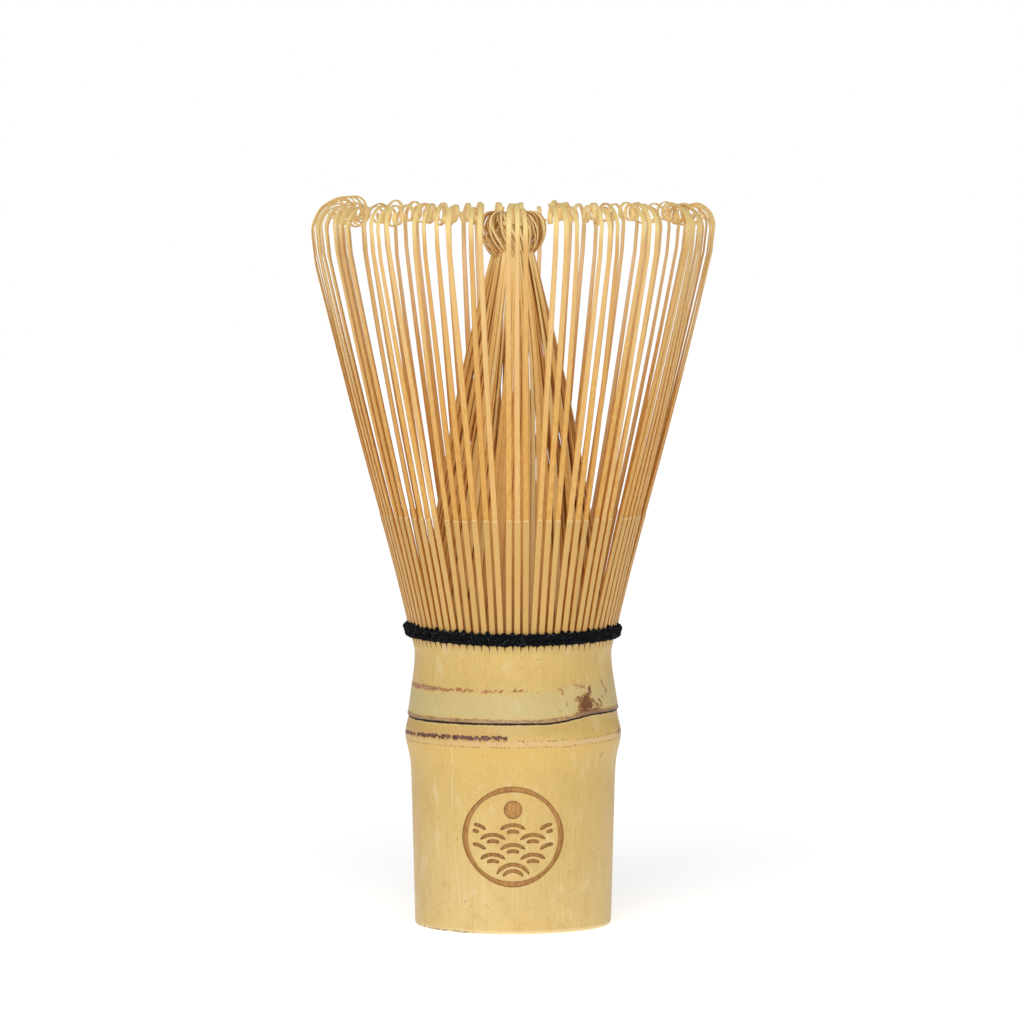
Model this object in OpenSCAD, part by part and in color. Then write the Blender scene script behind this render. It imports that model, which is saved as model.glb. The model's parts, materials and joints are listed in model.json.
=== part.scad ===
// Bamboo tea whisk. One culm makes the whole whisk. Below its node it is a hollow handle. Above the
// node its wall is split into staves, each stave is cut into broad outer tines and fine inner tines,
// and a black cotton thread is woven round the roots to hold the two rings apart.
// The origin is the centre of the handle's foot, +Z is up, and the carved crest faces -Y.

/* [Handle] */
// Radius of the handle at its foot
foot_r = 14.95; // [14.6:0.05:15.2]
// Growth of the handle's radius for each millimetre of height
handle_taper = 0.02; // [0.01:0.005:0.03]
// Radius of the hollow inside the handle
hollow_r = 11; // [9:0.5:12]
// Depth of the hollow, from the foot to the diaphragm
hollow_depth = 27; // [25:0.5:28]

/* [Crest] */
// Outer radius of the round carved crest
crest_r = 7.6; // [6:0.1:9]
// Height of the crest's centre above the foot
crest_z = 14.8; // [12:0.1:16]
// Depth of the crest's carved lines
crest_depth = 0.3; // [0.1:0.05:0.5]

/* [Node] */
// Height of the node's lower ridge
ridge_z = 28.9; // [28.5:0.1:29.5]
// Height by which the lower ridge stands out
ridge_rise = 0.9; // [0.5:0.05:1.2]
// Height by which the sheath line above it stands out
sheath_rise = 0.5; // [0.2:0.05:0.7]
// Top of the node's thick wall
node_top_z = 35.6; // [35:0.1:36.5]
// Thickness of the diaphragm across the node
diaphragm_t = 2.2; // [1.5:0.1:3]

/* [Neck] */
// Height of the narrowest place, just below the split
waist_z = 41; // [40.5:0.1:41.5]
// How much the culm is shaved in at the waist
waist_shave = 0.75; // [0.5:0.05:0.9]
// Radius of the hollow above the diaphragm
neck_hollow_r = 12.6; // [12:0.1:12.8]
// Height at which the tines are split apart
split_z = 42.4; // [42:0.1:42.8]
// Height from which the tines bend
flex_z = 45.9; // [45.8:0.05:46.2]

/* [Outer tines] */
// Staves round the culm
staves = 16; // [12:1:16]
// Outer tines, and inner tines, cut from each stave
tines_in_stave = 5; // [3:1:5]
// Width of an outer tine
outer_w = 0.88; // [0.7:0.02:0.9]
// Thickness of an outer tine at its root
outer_root_t = 0.42; // [0.35:0.01:0.45]
// Thickness of an outer tine at its tip
outer_tip_t = 0.27; // [0.2:0.01:0.32]
// Lean of the outer tines away from upright, in degrees
flare = 14.45; // [12:0.1:15]
// Length of the straight part of an outer tine
outer_straight = 57.6; // [54:0.1:60]
// Radius of the shoulder over which an outer tine bends in
shoulder_r = 3.8; // [3.4:0.1:4.2]
// Radius of the curl at an outer tine's tip
curl_r = 1.7; // [1.4:0.05:1.8]
// How far the tips' heights scatter either way
tip_scatter = 1.2; // [0:0.1:1.5]

/* [Inner tines] */
// Radius of the inner tines' ring at its root
inner_root_r = 13.75; // [13.7:0.05:13.8]
// Width of an inner tine
inner_w = 0.28; // [0.2:0.01:0.28]
// Thickness of an inner tine at its root
inner_root_t = 0.34; // [0.3:0.01:0.4]
// Thickness of an inner tine at its tip
inner_tip_t = 0.26; // [0.2:0.01:0.28]
// Angle between neighbouring inner tines of one stave, in degrees
inner_pitch = 4; // [3.8:0.1:4]

/* [Thread] */
// Thickness of the cotton thread
thread_d = 0.6; // [0.5:0.02:0.62]
// Height of the first round of thread
first_round_z = 44.05; // [43.9:0.05:44.1]
// Rise from one round of thread to the next
round_rise = 0.65; // [0.64:0.01:0.66]

/* [Hidden] */
$fn = 96;
tine_count = staves * tines_in_stave;
stave_angle = 360 / staves;
tine_angle = 360 / tine_count;
bend_facet = 20;           // degrees turned by each flat facet of a bend
long_bend_facet = 8;       // the same on the slow bend below the shoulder
profile_step = 1.5;        // height of each cone in the culm's outline
foot_bevel = 0.35;
diaphragm_r = (hollow_r + neck_hollow_r) / 2;    // its rim is grown into the wall
saw_gap = 0.1;             // between a tine's root and the bending tine above it
thread_gap = 0.02;         // between the thread and the bamboo that it lies on

// Outer radius of the culm at each height: a slow taper, the ridge, the sheath line and the waist
function bell(x) = exp(-x * x);
function ease(x) = let (t = min(max(x, 0), 1)) t * t * (3 - 2 * t);
ridge_below = 3.5;         // the ridge fades slowly below and quickly above
ridge_above = 1.6;
sheath_z = ridge_z + 3.7;
sheath_reach = 1.3;
shave_from_z = ridge_z + 2.5;
function culm_r(z) =
    foot_r + handle_taper * z
    - waist_shave * ease((z - shave_from_z) / (waist_z - shave_from_z))
    + ridge_rise * bell((z - ridge_z) / (z < ridge_z ? ridge_below : ridge_above))
    + sheath_rise * bell((z - sheath_z) / sheath_reach);

// The outer face of the outer tines leans out from the split
split_r = culm_r(split_z);
function outer_face_r(z) = split_r + (z - split_z) * tan(flare);
outer_root_r = outer_face_r(flex_z) - outer_root_t / 2;
slit_w = 2 * outer_face_r(split_z) * sin(tine_angle / 2) - outer_w;

// Inner roots: a thinner ring inside the thread's inner pass
inner_ring_t = 0.7;
inner_ring_r = inner_root_r - inner_ring_t / 2;

// A bend is [radius, heading at its end]. The heading is the lean from upright, in degrees, and
// positive leans out. A positive radius bends towards the axis, and a negative one away from it.
function side(h) = [cos(h), -sin(h)];
function ahead(h) = [sin(h), cos(h)];
function along_bend(p, h, r, a) = p + r * (side(a) - side(h));
function bent(p, h, bends, i = 0) =
    i == len(bends) ? [] :
    let (
        r = bends[i][0],
        h_end = bends[i][1],
        facet = abs(r) > 5 ? long_bend_facet : bend_facet,
        n = ceil(abs(h_end - h) / facet)
    )
    concat(
        [for (k = [1:n]) let (a = h + (h_end - h) * k / n) [along_bend(p, h, r, a), a]],
        bent(along_bend(p, h, r, h_end), h_end, bends, i + 1));
function tine_path(root, h, straight, bends) =
    let (top = root + straight * ahead(h))
    concat([[root, h], [top, h]], bent(top, h, bends));

// A strip of the given thicknesses along a path, thick at its root and even above its straight part
function half_t(i, root_t, tip_t) = (i == 0 ? root_t : tip_t) / 2;
function strip(path, root_t, tip_t) =
    let (n = len(path) - 1)
    concat(
        [for (i = [0:n]) path[i][0] + half_t(i, root_t, tip_t) * side(path[i][1])],
        [for (i = [n:-1:0]) path[i][0] - half_t(i, root_t, tip_t) * side(path[i][1])]);

// Opposite tines keep the same scatter, so that the whisk stays centred on its axis
function scatter(n) =
    tip_scatter * (0.6 * sin(14 * n * tine_angle) + 0.4 * sin(6 * n * tine_angle));
slow_bend_r = 18;
curl_end_r = 0.8 * curl_r;
function outer_path(n) =
    tine_path([outer_root_r, flex_z], flare, outer_straight + scatter(n),
        [[slow_bend_r, 0], [shoulder_r, -90], [curl_r, -270], [curl_end_r, -360]]);

// Two kinds of inner tine share the narrow crown: even ones stand nearer the axis and curl out over
// the odd ones
crown_z = [107.2, 106.2];
crown_r = [2.6, 3.3];
crown_curl_r = [1.15, 0.85];
crown_fall_r = 6;
crown_fall_end = 205;
function inner_path(kind) =
    let (
        root = [inner_root_r, flex_z],
        crown = [crown_r[kind], crown_z[kind]],
        h = atan2(crown.x - root.x, crown.y - root.y)
    )
    tine_path(root, h, norm(crown - root),
        [[-crown_curl_r[kind], 180], [-crown_fall_r, crown_fall_end]]);

function two_digits(i) = str(i < 10 ? "0" : "", i);
function outer_name(i) = str("outer_tines_", two_digits(i));
function inner_name(i) = str("inner_tines_", two_digits(i));

// A stretch of the culm with a straight bore
module culm_tube(z_low, z_high, bore_r, bevel = 0) {
    steps = ceil((z_high - z_low) / profile_step);
    first_z = z_low + bevel;
    rotate_extrude()
        polygon(concat(
            [[bore_r, z_low], [culm_r(z_low) - bevel, z_low]],
            [for (i = [0:steps])
                let (z = first_z + (z_high - first_z) * i / steps)
                [culm_r(z), z]],
            [[bore_r, z_high]]));
}

// Two nested half rings, as one wave
module wave(r, line) {
    intersection() {
        for (k = [0:1])
            difference() {
                circle(r - 2 * k * line);
                circle(r - (2 * k + 1) * line);
            }
        translate([-r, 0])
            square([2 * r, r]);
    }
}

// The crest: a ring round a rising sun and three rows of waves
module crest_lines() {
    rim_line = 0.75;
    wave_line = 0.55;
    wave_r = crest_r * 0.32;
    row_step = wave_r - wave_line / 2;
    sun_r = crest_r * 0.19;
    difference() {
        circle(crest_r);
        circle(crest_r - rim_line);
    }
    translate([0, crest_r / 2])
        difference() {
            circle(sun_r);
            circle(sun_r - wave_line);
        }
    intersection() {
        circle(crest_r - rim_line - wave_line);
        for (row = [0:2])
            for (column = [-2:1])
                translate([(2 * column + 1 + (row + 1) % 2) * row_step, (row - 2.3) * row_step])
                wave(wave_r, wave_line);
    }
}

module handle() {
    floor_r = culm_r(crest_z) - crest_depth;
    color("#e3c583")
        difference() {
            culm_tube(0, hollow_depth, hollow_r, foot_bevel);
            difference() {
                translate([0, 0, crest_z])
                    rotate([90, 0, 0])
                    linear_extrude(2 * foot_r)
                    crest_lines();
                cylinder(h = hollow_depth, r = floor_r);
            }
        }
}

module node_ring() {
    color("#cfa568")
        difference() {
            culm_tube(hollow_depth, node_top_z, diaphragm_r);
            translate([0, 0, hollow_depth + diaphragm_t])
                cylinder(h = node_top_z, r = neck_hollow_r);
        }
}

module node_diaphragm() {
    color("#d9bf86")
        translate([0, 0, hollow_depth])
        cylinder(h = diaphragm_t, r = diaphragm_r);
}

// The neck, with the stubs of the outer and inner tines standing on it between the saw slits
module tine_collar() {
    stub_top = flex_z - saw_gap;
    stub_foot = split_z - saw_gap;
    color("#d6b26b") {
        culm_tube(node_top_z, split_z, neck_hollow_r);
        difference() {
            rotate_extrude() {
                polygon([
                    [outer_face_r(stub_foot) - outer_root_t, stub_foot],
                    [outer_face_r(stub_foot), stub_foot],
                    [outer_face_r(stub_top), stub_top],
                    [outer_face_r(stub_top) - outer_root_t, stub_top]]);
                translate([inner_ring_r, stub_foot])
                    square([inner_ring_t, stub_top - stub_foot]);
            }
            for (k = [0:tine_count - 1])
                rotate([0, 0, k * tine_angle])
                translate([neck_hollow_r, -slit_w / 2, split_z])
                cube([foot_r, slit_w, flex_z]);
        }
    }
}

function round_r_out(z) = outer_face_r(z) + thread_d / 2 + thread_gap;
function round_r_in(z) = outer_face_r(z) - outer_root_t - thread_d / 2 - thread_gap;

module thread_ring(r, z) {
    translate([0, 0, z])
        rotate_extrude()
        translate([r, 0])
        circle(d = thread_d, $fn = 24);
}

// One round of weaving: a pass outside the stubs, a pass inside, and crossings in every other slit
module thread_round(z, first_slit) {
    crossing_d = 0.8 * slit_w;
    thread_ring(round_r_out(z), z);
    thread_ring(round_r_in(z), z);
    for (k = [first_slit:2:tine_count - 1])
        rotate([0, 0, k * tine_angle])
        translate([round_r_in(z), 0, z])
        rotate([0, 90, 0])
        cylinder(h = round_r_out(z) - round_r_in(z), d = crossing_d, $fn = 16);
}

module thread_lower_braid() {
    color("#22201d")
        thread_round(first_round_z, 0);
}

module thread_upper_braid() {
    color("#22201d")
        for (turn = [1, 2])
            thread_round(first_round_z + turn * round_rise, turn % 2);
}

// The thread's end is knotted between the two rings of tines, at the back
module thread_knot() {
    knot_r = 0.4;
    tail_h = 1.4;
    color("#22201d")
        rotate([0, 0, 90 + tine_angle / 2])
        translate([inner_root_r + 1.25, 0, flex_z + knot_r]) {
            sphere(r = knot_r, $fn = 32);
            cylinder(h = tail_h, d = thread_d / 2, $fn = 16);
        }
}

module blade(path, width, root_t, tip_t) {
    rotate([90, 0, 0])
        linear_extrude(width, center = true)
        polygon(strip(path, root_t, tip_t));
}

module outer_tines(i) {
    color("#d9a963")
        for (k = [0:tines_in_stave - 1]) {
            n = (i - 1) * tines_in_stave + k;
            rotate([0, 0, (n + 0.5) * tine_angle])
                blade(outer_path(n), outer_w, outer_root_t, outer_tip_t);
        }
}

module inner_tines(i) {
    color("#c8924f")
        for (k = [0:tines_in_stave - 1]) {
            n = (i - 1) * tines_in_stave + k;
            off_centre = k - (tines_in_stave - 1) / 2;
            rotate([0, 0, (i - 0.5) * stave_angle + off_centre * inner_pitch])
                blade(inner_path(n % 2), inner_w, inner_root_t, inner_tip_t);
        }
}

handle();
node_ring();
node_diaphragm();
tine_collar();
thread_lower_braid();
thread_upper_braid();
thread_knot();
for (i = [1:staves]) {
    outer_tines(i);
    inner_tines(i);
}
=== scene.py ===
"""A bamboo tea whisk: carved culm, split and curled tines, and a woven cotton thread."""
import json
import math

import bpy
import numpy as np
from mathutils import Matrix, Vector


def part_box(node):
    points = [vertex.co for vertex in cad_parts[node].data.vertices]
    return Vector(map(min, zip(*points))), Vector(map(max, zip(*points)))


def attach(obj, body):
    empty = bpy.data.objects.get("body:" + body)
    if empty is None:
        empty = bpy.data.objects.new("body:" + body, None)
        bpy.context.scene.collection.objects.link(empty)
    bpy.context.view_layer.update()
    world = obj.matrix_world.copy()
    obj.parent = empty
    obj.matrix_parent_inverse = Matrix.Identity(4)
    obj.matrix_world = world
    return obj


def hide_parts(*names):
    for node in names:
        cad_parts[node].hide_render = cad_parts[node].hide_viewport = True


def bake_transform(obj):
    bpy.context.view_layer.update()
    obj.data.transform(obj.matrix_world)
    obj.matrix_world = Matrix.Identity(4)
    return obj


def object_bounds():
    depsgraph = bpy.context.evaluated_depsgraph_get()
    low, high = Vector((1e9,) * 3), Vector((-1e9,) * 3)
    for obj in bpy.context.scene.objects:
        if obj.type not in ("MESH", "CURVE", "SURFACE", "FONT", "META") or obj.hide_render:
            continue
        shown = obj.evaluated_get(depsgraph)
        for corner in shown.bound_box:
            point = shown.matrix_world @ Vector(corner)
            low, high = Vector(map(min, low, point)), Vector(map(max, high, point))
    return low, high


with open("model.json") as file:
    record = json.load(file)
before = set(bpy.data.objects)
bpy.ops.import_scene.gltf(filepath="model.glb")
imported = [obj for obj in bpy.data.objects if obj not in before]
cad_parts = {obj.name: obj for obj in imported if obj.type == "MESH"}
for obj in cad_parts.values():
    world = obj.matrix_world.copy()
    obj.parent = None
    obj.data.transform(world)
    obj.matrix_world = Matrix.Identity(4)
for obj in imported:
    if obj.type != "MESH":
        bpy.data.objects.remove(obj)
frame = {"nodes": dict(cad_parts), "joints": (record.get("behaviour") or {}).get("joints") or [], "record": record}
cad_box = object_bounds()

MM = 0.001

# ---- values from the frame

JOINTS = frame["joints"]
OUTER_JOINTS = [j for j in JOINTS if j["child"].startswith("outer_stave")]
INNER_JOINTS = [j for j in JOINTS if j["child"].startswith("inner_stave")]
STAVES = len(OUTER_JOINTS)
TINES_IN_STAVE = 5
TINES = STAVES * TINES_IN_STAVE
PITCH = 2 * math.pi / TINES

FLEX_Z = OUTER_JOINTS[0]["pos_m"][2]
SLIT_DEPTH = 3.5 * MM
SPLIT_Z = FLEX_Z - SLIT_DEPTH  # where the culm ends and the tines begin
INNER_ROOT_R = math.hypot(*INNER_JOINTS[0]["pos_m"][:2])
CAD_TOP = cad_box[1].z
HANDLE_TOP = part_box("handle")[1].z
NODE_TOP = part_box("node_ring")[1].z
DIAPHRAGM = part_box("node_diaphragm")
HOLLOW = next(m for m in frame["record"]["mounts"] if m["name"] == "handle_hollow")
HOLLOW_R = HOLLOW["dims"]["r_mm"] * MM
UPPER_HOLLOW_R = 12.6 * MM  # the bore above the node
FLARE = math.radians(13.1)  # lean of the outer tines at their hinges


def foot_radius():
    """Radius of the CAD handle at its foot."""
    co = np.array([v.co for v in frame["nodes"]["handle"].data.vertices])
    low = co[co[:, 2] < 1 * MM]
    return float(np.hypot(low[:, 0], low[:, 1]).max())


FOOT_R = foot_radius()


def bell(x):
    return np.exp(-np.square(x))


def ease(x):
    t = np.clip(x, 0, 1)
    return t * t * (3 - 2 * t)


def mix(a, b, t):
    return a + (b - a) * t


RIDGE_Z = HANDLE_TOP + 2.2 * MM
WAIST_FROM = HANDLE_TOP + 5.5 * MM


def face_r(z):
    """Outer radius of the culm, and of the outer tines' faces up to where they bend: a slow taper, the
    node's ridge, the shaved waist, and the flare that starts at the split."""
    z = np.asarray(z, dtype=float)
    ridge = 0.75 * MM * bell((z - RIDGE_Z) / np.where(z < RIDGE_Z, 3.0 * MM, 2.2 * MM))
    waist = 1.0 * MM * ease((z - WAIST_FROM) / (9 * MM))
    flare_from = SPLIT_Z - 1.0 * MM
    flare = np.maximum(z - flare_from, 0)
    soft = 1.6 * MM
    flare = np.where(flare < soft, flare ** 2 / (2 * soft), flare - soft / 2) * math.tan(FLARE)
    return FOOT_R + 0.026 * z + ridge - waist + flare


# ---- shader formulas


def add_node(tree, kind, inputs, **settings):
    """A new shader node. Each input takes a number, a colour, a field or another node's output."""
    node = tree.nodes.new(kind)
    for name, value in settings.items():
        setattr(node, name, value)
    for key, value in inputs.items():
        value = getattr(value, "socket", value)
        if isinstance(value, bpy.types.NodeSocket):
            tree.links.new(value, node.inputs[key])
        else:
            node.inputs[key].default_value = value
    return node


class Field:
    """A number at every point of a surface. Arithmetic on fields adds Math nodes to the material."""

    def __init__(self, tree, socket):
        self.tree = tree
        self.socket = socket

    def math(self, operation, *others, clamp=False):
        inputs = dict(enumerate((self, *others)))
        node = add_node(self.tree, "ShaderNodeMath", inputs, operation=operation, use_clamp=clamp)
        return Field(self.tree, node.outputs[0])

    def __add__(self, other):
        return self.math("ADD", other)

    def __sub__(self, other):
        return self.math("SUBTRACT", other)

    def __mul__(self, other):
        return self.math("MULTIPLY", other)

    __rmul__ = __mul__

    def __truediv__(self, other):
        return self.math("DIVIDE", other)

    def bell(self):
        return (self * self * -1).math("EXPONENT")

    def near(self, centre, width):
        """1 at centre, falling off to both sides as a bell of this width."""
        return ((self - centre) * (1 / width)).bell()

    def step(self, low, high):
        """0 below low, 1 above high, and smooth between them; low may be the larger."""
        inputs = {"Value": self, "From Min": low, "From Max": high}
        node = add_node(self.tree, "ShaderNodeMapRange", inputs, interpolation_type="SMOOTHSTEP")
        return Field(self.tree, node.outputs["Result"])

    def clamp(self):
        return self.math("ADD", 0.0, clamp=True)


class Surface:
    """A procedural material in the making. Its coordinates are millimetres in the row frame."""

    def __init__(self, name):
        self.material = bpy.data.materials.new(name)
        self.material.use_nodes = True
        self.tree = self.material.node_tree
        self.shader = self.tree.nodes["Principled BSDF"]
        metres = self.add("ShaderNodeTexCoord", {}).outputs["Object"]
        scale = self.add("ShaderNodeVectorMath", {0: metres, "Scale": 1 / MM}, operation="SCALE")
        self.position = scale.outputs[0]
        split = self.add("ShaderNodeSeparateXYZ", {0: self.position})
        self.x, self.y, self.z = (Field(self.tree, s) for s in split.outputs)
        self.colour = None

    def add(self, kind, inputs, **settings):
        return add_node(self.tree, kind, inputs, **settings)

    def stretched(self, sx, sy, sz):
        inputs = {0: self.position, 1: (sx, sy, sz)}
        return self.add("ShaderNodeVectorMath", inputs, operation="MULTIPLY").outputs[0]

    def noise(self, across, along=None, detail=3.0, roughness=0.55, seed=0.0):
        """Noise with this many waves for each millimetre across the culm, and along it."""
        along = across if along is None else along
        inputs = {"Vector": self.stretched(across, across, along), "W": seed, "Scale": 1.0,
                  "Detail": detail, "Roughness": roughness}
        node = self.add("ShaderNodeTexNoise", inputs, noise_dimensions="4D")
        return Field(self.tree, node.outputs["Fac"])

    def attribute(self, name):
        node = self.add("ShaderNodeAttribute", {}, attribute_name=name)
        return Field(self.tree, node.outputs["Fac"])

    def blend(self, a, b, amount):
        """Colour a where amount is 0, and b where it is 1."""
        inputs = {"Factor": amount, "A": a, "B": b}
        return self.add("ShaderNodeMix", inputs, data_type="RGBA").outputs["Result"]

    def paint(self, first, second, amount):
        """Starts the colour: first where amount is 0, and second where it is 1."""
        self.colour = self.blend(srgb(*first), srgb(*second), amount)

    def tint(self, red, green, blue, amount):
        """Lays a colour of 0 to 255 over what is there, as thick as amount."""
        self.colour = self.blend(self.colour, srgb(red, green, blue), amount)

    def finish(self, roughness, relief=None, depth_mm=0.0):
        """Joins the colour, roughness and relief to the shader, and gives the material."""
        self.tree.links.new(self.colour, self.shader.inputs["Base Color"])
        if isinstance(roughness, Field):
            self.tree.links.new(roughness.socket, self.shader.inputs["Roughness"])
        else:
            self.shader.inputs["Roughness"].default_value = roughness
        if relief:
            inputs = {"Distance": depth_mm * MM, "Strength": 1.0, "Height": relief}
            bump = self.add("ShaderNodeBump", inputs)
            self.tree.links.new(bump.outputs["Normal"], self.shader.inputs["Normal"])
        return self.material


def srgb(red, green, blue):
    """A colour of 0 to 255, as the linear values that shaders take."""
    def linear(c):
        c = c / 255
        return c / 12.92 if c <= 0.04045 else ((c + 0.055) / 1.055) ** 2.4
    return (linear(red), linear(green), linear(blue), 1.0)


# ---- lines round the node

# Heights, in millimetres, of the lines round the node. A turn is the angle from the front, in degrees,
# positive towards +X.
SHEATH_Z = HANDLE_TOP / MM + 4.88
RIDGE_BAND_Z = HANDLE_TOP / MM + 1.85
LOWER_SCAR_Z = HANDLE_TOP / MM + 2.75
UPPER_SCAR_Z = HANDLE_TOP / MM + 9.75
NODE_R = 16.0


def rise(value, low, high):
    """A smooth rise from 0 at low to 1 at high, of a number, an array or a field."""
    if isinstance(value, Field):
        return value.step(low, high)
    return ease((value - low) / (high - low))


def sheath_height(turn):
    """Height of the sheath line at a turn: level at the front and left, and a step up on the right."""
    up = rise(turn, 16, 54) - rise(turn, 112, 168)
    left_dip = rise(turn, -62, -96) - rise(turn, -130, -175)
    return up * 1.08 + left_dip * 0.2 + SHEATH_Z


# ---- materials


def skin_tones(m):
    """The polished skin's own colours and relief, without scars: shared by the culm and the tines."""
    broad = m.noise(0.10, 0.02, detail=2, seed=1)
    streaks = m.noise(2.2, 0.035, detail=4, roughness=0.65, seed=2)
    fine = m.noise(7.0, 0.12, detail=2, seed=3)
    mottle = m.noise(2.6, 1.9, detail=5, roughness=0.75, seed=4)
    cloud = m.noise(0.42, 0.26, detail=4, roughness=0.6, seed=5)
    m.paint((228, 197, 130), (224, 188, 108), m.z.step(4.0, 24.0))
    m.tint(214, 178, 104, broad.step(0.42, 0.62) * 0.5)
    m.tint(236, 207, 144, streaks.step(0.54, 0.76) * 0.55)
    m.tint(200, 166, 98, streaks.step(0.47, 0.3) * 0.45)
    m.tint(198, 160, 92, fine.step(0.54, 0.7) * 0.2)
    m.tint(238, 212, 154, mottle.step(0.52, 0.68) * 0.45)
    m.tint(202, 164, 94, mottle.step(0.47, 0.33) * 0.4)
    m.tint(232, 206, 152, cloud.step(0.54, 0.7) * 0.55)
    m.tint(206, 170, 98, cloud.step(0.46, 0.32) * 0.45)
    relief = streaks * 0.5 + fine * 0.25 + mottle * 0.25
    return mottle, relief


# Brown marks, most of them above the sheath line, as (start, end, reach): a point is a turn in degrees
# and a height in millimetres, and the reach is in millimetres.
BLOTCH = [
    ((45.0, 34.9), (42.0, 33.6), 1.8), ((41.5, 35.4), (47.0, 34.4), 1.2),
    ((46.0, 35.2), (49.0, 36.8), 0.6), ((43.0, 33.4), (54.0, 33.4), 0.45),
    ((50.0, 35.0), (54.5, 34.0), 0.4),
    ((55.7, 35.2), (57.0, 34.0), 0.36), ((58.8, 35.5), (59.2, 35.3), 0.26),
    ((0.3, 36.7), (1.0, 36.9), 0.3), ((14.4, 41.4), (14.8, 41.4), 0.2), ((57.0, 26.4), (57.4, 26.9), 0.22),
]
STAINS = [
    ((38.6, 35.4), (41.5, 33.9), 0.8), ((37.6, 37.5), (45.0, 37.0), 0.45),
    ((60.7, 37.5), (65.1, 36.0), 0.55), ((27.2, 36.9), (28.6, 36.4), 0.72),
    ((30.8, 34.8), (31.6, 34.3), 0.2), ((5.2, 36.8), (7.8, 36.9), 0.2), ((10.6, 36.6), (11.0, 36.7), 0.18),
]

# Long pale scratches down the handle, in the same form.
SCRATCHES = [
    ((-50.0, 27.0), (-48.0, 17.0), 0.11), ((-48.0, 17.0), (-46.3, 7.0), 0.09),
    ((-34.8, 28.0), (-37.0, 18.8), 0.10), ((-36.0, 14.5), (-32.0, 4.6), 0.09),
]


TO_ARC = math.radians(NODE_R)


def smear(arc, z, start, end, reach):
    """1 on the line from start to end, falling to 0 at this reach from it."""
    x0, z0 = start[0] * TO_ARC, start[1]
    dx, dz = end[0] * TO_ARC - x0, end[1] - z0
    length = max(dx * dx + dz * dz, 1e-6)
    along = (((arc - x0) * dx + (z - z0) * dz) / length).clamp()
    ex = arc - along * dx - x0
    ez = z - along * dz - z0
    return (ex * ex + ez * ez).math("SQRT").step(reach, reach * 0.1)


def marked(arc, z, marks, ragged=0.0):
    """Where any of the marks is, with ragged edges."""
    total = smear(arc, z, *marks[0])
    for mark in marks[1:]:
        total = total.math("MAXIMUM", smear(arc, z, *mark))
    return total + ragged * total.step(0.0, 0.3)


def warm_and_olive(m, line, coarse, mottle):
    """The skin is warm just below the node, and olive between the sheath line and the upper scar."""
    warm = line.step(-10.0, -4.0) * line.step(-2.2, -3.2)
    m.tint(226, 186, 98, warm * 0.5)
    wide = line + coarse * 1.6
    olive = wide.step(0.3, 1.2) * wide.step(6.2, 3.2) * (mottle * 1.2 + 0.1)
    m.tint(206, 192, 138, olive.clamp() * 0.85)
    m.tint(206, 172, 98, wide.step(-2.4, -1.2) * line.step(0.0, -0.3) * 0.4)


def ridge_band(m, turn, coarse, crumbs, mottle, dots):
    """The ridge's pinkish band, with dotted brown lines along both its edges."""
    band_z = m.z + coarse * 0.6 + crumbs * 0.7 - turn.step(20.0, 75.0) * 0.35 - RIDGE_BAND_Z
    band = band_z.step(-0.62, -0.30) * band_z.step(0.55, 0.3) * (turn.step(-60.0, -20.0) * 0.6 + 0.4)
    m.tint(228, 192, 148, (band * (mottle * 2.2 - 0.4)).clamp() * 0.7)
    upper_dots = band_z.near(0.45, 0.19) * dots
    m.tint(140, 84, 46, upper_dots.step(0.46, 0.52) * 0.9)
    lower_dots = band_z.near(-0.5, 0.22) * dots
    m.tint(176, 112, 54, lower_dots.step(0.44, 0.52) * 0.85)


def dark_dashes(m, turn, coarse, crumbs):
    """Dark dashes above the band on the left, and a few at the right edge."""
    dash_z = m.z + coarse * 0.35 - LOWER_SCAR_Z - turn.step(-40.0, -85.0) * -0.2
    clots = m.noise(1.55, 1.3, detail=4, roughness=0.72, seed=8)
    where = turn.step(-1.5, -3.5) + turn.step(70.0, 76.0) * turn.step(96.0, 84.0) * 0.9
    dashes = dash_z.near(0, 0.68) * clots * where
    halo = dash_z.near(0, 0.95) * where
    m.tint(206, 150, 92, halo.clamp() * 0.35)
    m.tint(176, 112, 66, dashes.step(0.38, 0.43) * 0.8)
    m.tint(84, 46, 36, dashes.step(0.425, 0.455))
    m.tint(146, 110, 100, (dashes + crumbs * 0.25).step(0.52, 0.57) * 0.85)


def upper_scar(m, turn, coarse, crumbs):
    """The broken brown scar above the node, fading out past the front."""
    scar_z = m.z + coarse * 1.1 - UPPER_SCAR_Z + turn.step(-50.0, -85.0) * -0.1
    grit = m.noise(2.1, 2.3, detail=4, roughness=0.8, seed=9)
    fading = turn.step(4.0, -58.0) * 0.20 + 0.92
    fading = fading * (m.noise(0.7, 0.2, detail=1, seed=19).step(0.40, 0.52) * 0.22 + 0.80)
    scar = scar_z.near(0, 0.60) * grit * fading * (turn.step(11.0, 3.0) * 0.55 + 0.45)
    m.tint(214, 160, 82, scar.step(0.34, 0.46) * 0.6)
    m.tint(158, 92, 44, scar.step(0.455, 0.49) * 0.95)
    m.tint(200, 164, 140, (scar + crumbs * 0.25).step(0.56, 0.60) * 0.85)


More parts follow.
